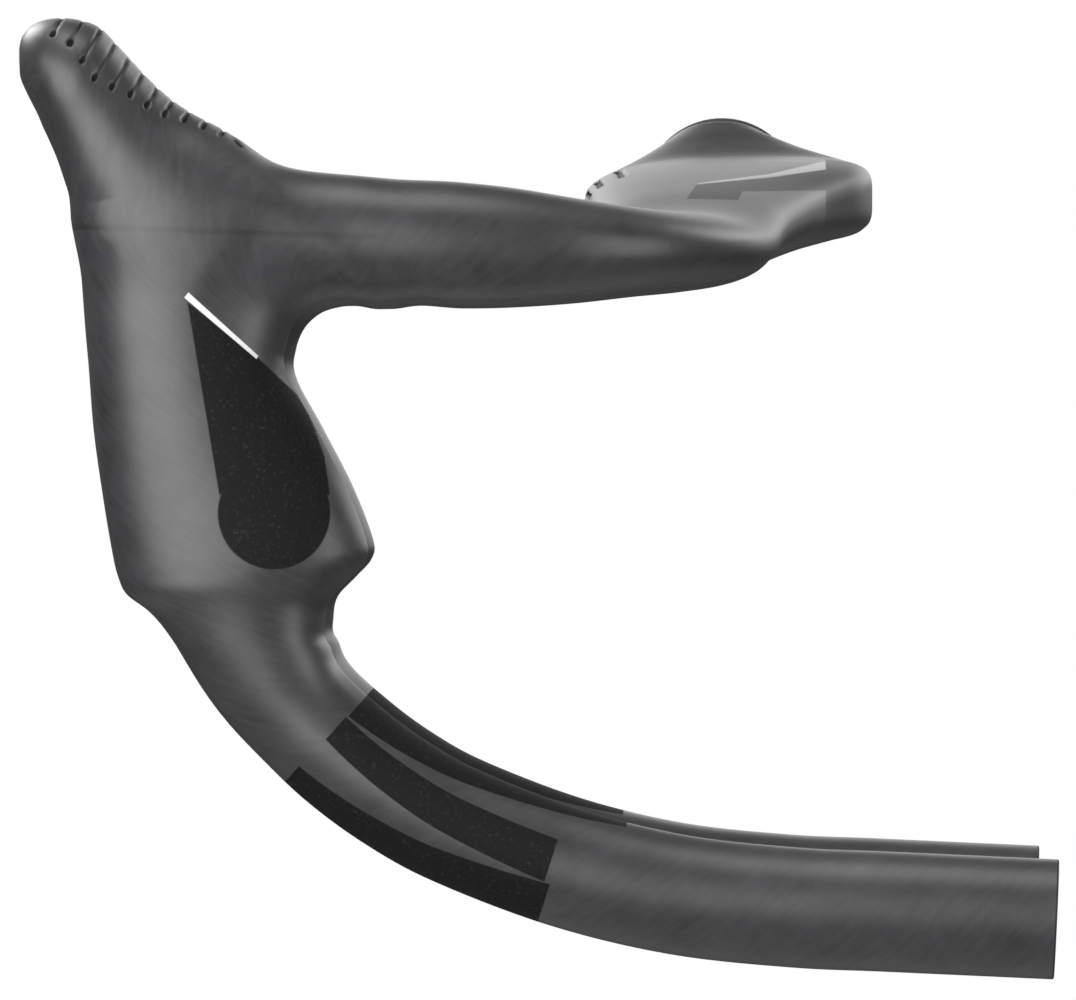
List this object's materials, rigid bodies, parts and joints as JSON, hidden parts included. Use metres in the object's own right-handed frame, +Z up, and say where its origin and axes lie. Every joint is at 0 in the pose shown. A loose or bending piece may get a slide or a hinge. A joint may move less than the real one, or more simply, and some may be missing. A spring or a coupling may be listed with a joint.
{
  "type": "track handlebar",
  "caption": "One-piece drop handlebar for a track bicycle: wing-shaped tops, moulded hoods with a grooved horn, and round hooks with short straight grips.",
  "frame": {"origin": "middle of the stem clamp land, on its axis", "axes": "+Z up, -X toward the front of the bicycle, -Y toward the rider's left hand"},
  "size_m": [0.2058, 0.4024, 0.1903],
  "materials": {
    "fibre_shell": null
  },
  "bodies": {
    "root": {"handlebar": "fibre_shell"}
  },
  "joints": []
}
